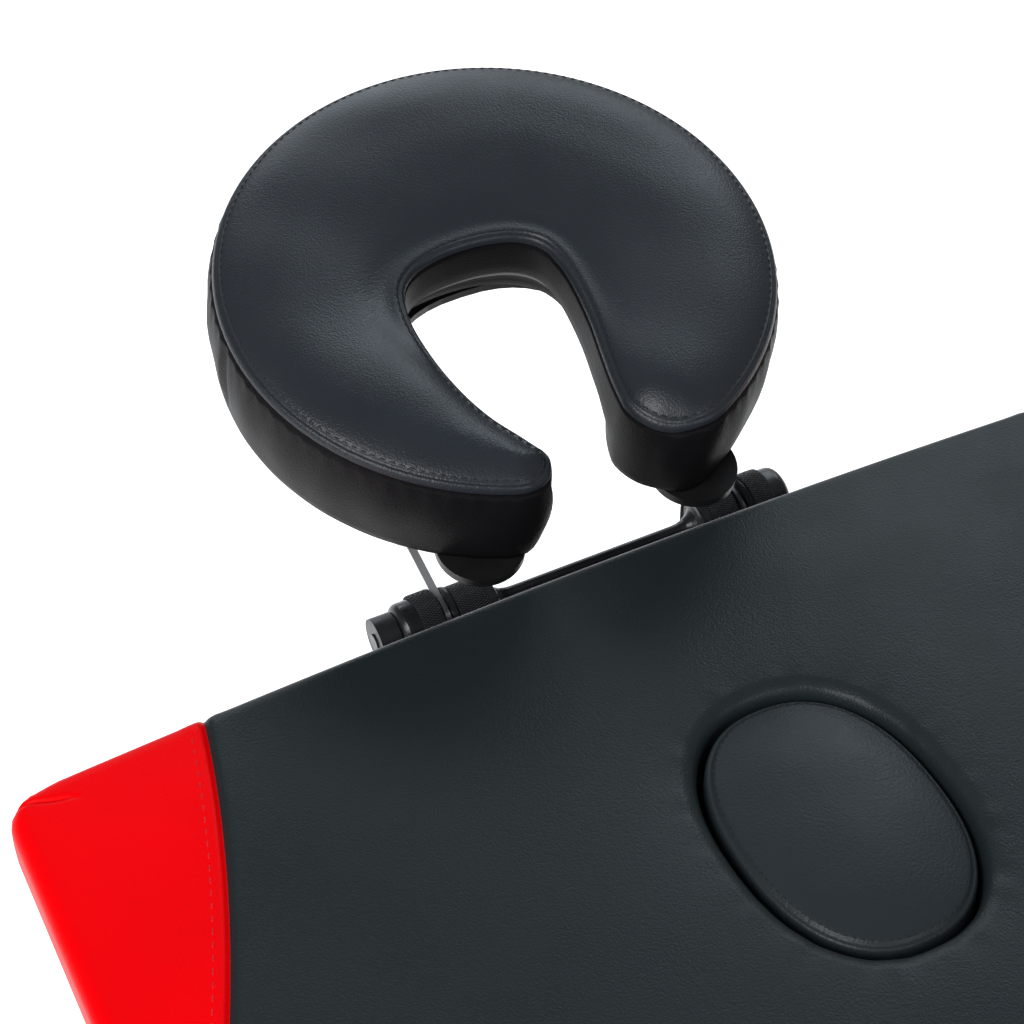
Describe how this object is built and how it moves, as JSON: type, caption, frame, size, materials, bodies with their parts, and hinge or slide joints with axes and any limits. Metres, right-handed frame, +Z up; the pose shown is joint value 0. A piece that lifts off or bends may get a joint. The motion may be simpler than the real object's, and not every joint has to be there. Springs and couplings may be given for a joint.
{
  "type": "portable massage table",
  "caption": "Folding padded massage table on telescopic aluminium legs, with a breathing hole and plug, and a tilting horseshoe face cradle with an arm sling.",
  "frame": {"origin": "middle of the footprint on the floor, at the bottom of the rubber feet", "axes": "+Y towards the face cradle at the head end, +Z up, +X to the right when facing +Y"},
  "size_m": [0.68, 2.1314, 0.7201],
  "materials": {
    "vinyl_black": "soft grained vinyl, satin",
    "vinyl_red": "soft grained vinyl, satin",
    "plywood": "lacquered birch plywood",
    "aluminium": "satin anodised",
    "steel": "zinc plated",
    "rubber": "matt moulded rubber",
    "webbing": "woven polypropylene webbing",
    "black_board": "satin black",
    "black_metal": "satin black powder coat",
    "black_plastic": "fine moulded texture"
  },
  "bodies": {
    "head_half": {"head_pad": "vinyl_black", "head_board": "plywood", "head_rail_left": "aluminium", "head_rail_right": "aluminium", "head_end_rail": "aluminium", "head_centre_rail": "aluminium", "head_hinge_leaves": "steel", "head_bushes": "black_plastic", "head_brace_brackets": "steel", "head_screws": "steel", "latch_plates": "steel", "head_handle": "webbing"},
    "foot_half": {"foot_pad": "vinyl_black", "foot_board": "plywood", "foot_rail_left": "aluminium", "foot_rail_right": "aluminium", "foot_end_rail": "aluminium", "foot_centre_rail": "aluminium", "foot_hinge_leaves": "steel", "hinge_pins": "steel", "foot_bushes": "black_plastic", "foot_brace_brackets": "steel", "foot_screws": "steel", "latch_keepers": "steel", "foot_handle": "webbing"},
    "head_leg_frame": {"head_leg_left": "aluminium", "head_leg_right": "aluminium", "head_leg_bars": "aluminium"},
    "foot_leg_frame": {"foot_leg_left": "aluminium", "foot_leg_right": "aluminium", "foot_leg_bars": "aluminium"},
    "head_upper_braces": {"head_upper_links": "steel"},
    "head_lower_braces": {"head_lower_links": "steel"},
    "head_left_inner_leg": {"head_inner_left": "aluminium", "head_rubber_left": "rubber"},
    "head_left_knob": {"head_knob_left": "black_plastic"},
    "head_right_inner_leg": {"head_inner_right": "aluminium", "head_rubber_right": "rubber"},
    "head_right_knob": {"head_knob_right": "black_plastic"},
    "foot_upper_braces": {"foot_upper_links": "steel"},
    "foot_lower_braces": {"foot_lower_links": "steel"},
    "foot_left_inner_leg": {"foot_inner_left": "aluminium", "foot_rubber_left": "rubber"},
    "foot_left_knob": {"foot_knob_left": "black_plastic"},
    "foot_right_inner_leg": {"foot_inner_right": "aluminium", "foot_rubber_right": "rubber"},
    "foot_right_knob": {"foot_knob_right": "black_plastic"},
    "cradle_base": {"cradle_posts": "black_metal", "cradle_crossbar": "black_metal"},
    "cradle_arms": {"cradle_arms": "aluminium"},
    "cradle_platform": {"platform_brackets": "black_metal", "platform": "black_board", "hook_strips": "webbing", "face_cushion": "vinyl_black"},
    "cam_lever": {"cam_lever": "black_plastic"},
    "arm_sling": {"sling_straps": "webbing", "sling_pad": "vinyl_black"},
    "face_plug": {"face_plug": "vinyl_black"},
    "latch_left": {"latch_lever_left": "steel"},
    "latch_right": {"latch_lever_right": "steel"}
  },
  "joints": [
    {"name": "fold", "type": "hinge", "parent": "head_half", "child": "foot_half", "pos_m": [0, -0.13571, 0.443], "axis": [1, 0, 0], "range_deg": [0, 180]},
    {"name": "head_leg_fold", "type": "hinge", "parent": "head_half", "child": "head_leg_frame", "pos_m": [0, 0.74429, 0.484], "axis": [-1, 0, 0], "range_deg": [0, 90]},
    {"name": "head_upper_brace_turn", "type": "hinge", "parent": "head_half", "child": "head_upper_braces", "pos_m": [0, 0.44429, 0.484], "axis": [1, 0, 0], "range_deg": [0, 45]},
    {"name": "head_lower_brace_turn", "type": "hinge", "parent": "head_leg_frame", "child": "head_lower_braces", "pos_m": [0, 0.74429, 0.184], "axis": [-1, 0, 0], "range_deg": [0, 45]},
    {"name": "head_left_leg_length", "type": "slide", "parent": "head_leg_frame", "child": "head_left_inner_leg", "axis": [0, 0, -1], "range_m": [0, 0.23]},
    {"name": "head_left_knob_turn", "type": "hinge", "parent": "head_leg_frame", "child": "head_left_knob", "pos_m": [-0.25, 0.74429, 0.094], "axis": [1, 0, 0], "range_deg": [-180, 180]},
    {"name": "head_right_leg_length", "type": "slide", "parent": "head_leg_frame", "child": "head_right_inner_leg", "axis": [0, 0, -1], "range_m": [0, 0.23]},
    {"name": "head_right_knob_turn", "type": "hinge", "parent": "head_leg_frame", "child": "head_right_knob", "pos_m": [0.25, 0.74429, 0.094], "axis": [1, 0, 0], "range_deg": [-180, 180]},
    {"name": "foot_leg_fold", "type": "hinge", "parent": "foot_half", "child": "foot_leg_frame", "pos_m": [0, -1.01571, 0.484], "axis": [1, 0, 0], "range_deg": [0, 90]},
    {"name": "foot_upper_brace_turn", "type": "hinge", "parent": "foot_half", "child": "foot_upper_braces", "pos_m": [0, -0.71571, 0.484], "axis": [-1, 0, 0], "range_deg": [0, 45]},
    {"name": "foot_lower_brace_turn", "type": "hinge", "parent": "foot_leg_frame", "child": "foot_lower_braces", "pos_m": [0, -1.01571, 0.184], "axis": [1, 0, 0], "range_deg": [0, 45]},
    {"name": "foot_left_leg_length", "type": "slide", "parent": "foot_leg_frame", "child": "foot_left_inner_leg", "axis": [0, 0, -1], "range_m": [0, 0.23]},
    {"name": "foot_left_knob_turn", "type": "hinge", "parent": "foot_leg_frame", "child": "foot_left_knob", "pos_m": [-0.25, -1.01571, 0.094], "axis": [1, 0, 0], "range_deg": [-180, 180]},
    {"name": "foot_right_leg_length", "type": "slide", "parent": "foot_leg_frame", "child": "foot_right_inner_leg", "axis": [0, 0, -1], "range_m": [0, 0.23]},
    {"name": "foot_right_knob_turn", "type": "hinge", "parent": "foot_leg_frame", "child": "foot_right_knob", "pos_m": [0.25, -1.01571, 0.094], "axis": [1, 0, 0], "range_deg": [-180, 180]},
    {"name": "cradle_slide", "type": "slide", "parent": "head_half", "child": "cradle_base", "axis": [0, 1, 0], "range_m": [0, 0.15]},
    {"name": "cradle_tilt", "type": "hinge", "parent": "cradle_base", "child": "cradle_arms", "pos_m": [0, 0.84029, 0.526], "axis": [1, 0, 0], "range_deg": [-30, 2]},
    {"name": "platform_tilt", "type": "hinge", "parent": "cradle_arms", "child": "cradle_platform", "pos_m": [0, 0.90829, 0.544], "axis": [1, 0, 0], "range_deg": [-25, 2]},
    {"name": "cam_turn", "type": "hinge", "parent": "cradle_base", "child": "cam_lever", "pos_m": [0, 0.84029, 0.526], "axis": [1, 0, 0], "range_deg": [0, 90]},
    {"name": "sling_swing", "type": "hinge", "parent": "cradle_base", "child": "arm_sling", "pos_m": [0, 0.84029, 0.526], "axis": [1, 0, 0], "range_deg": [0, 6]},
    {"name": "plug_lift", "type": "slide", "parent": "head_half", "child": "face_plug", "axis": [0, 0, 1], "range_m": [0, 0.08]},
    {"name": "latch_left_turn", "type": "hinge", "parent": "head_half", "child": "latch_left", "pos_m": [-0.3362, 0.50429, 0.493], "axis": [0, 1, 0], "range_deg": [0, 110]},
    {"name": "latch_right_turn", "type": "hinge", "parent": "head_half", "child": "latch_right", "pos_m": [0.3362, 0.50429, 0.493], "axis": [0, -1, 0], "range_deg": [0, 110]}
  ],
  "couplings": [
    {"joint": "head_leg_fold", "follows": "fold", "ratio": 0.5},
    {"joint": "head_upper_brace_turn", "follows": "fold", "ratio": 0.25},
    {"joint": "head_lower_brace_turn", "follows": "fold", "ratio": 0.25},
    {"joint": "foot_leg_fold", "follows": "fold", "ratio": 0.5},
    {"joint": "foot_upper_brace_turn", "follows": "fold", "ratio": 0.25},
    {"joint": "foot_lower_brace_turn", "follows": "fold", "ratio": 0.25}
  ]
}
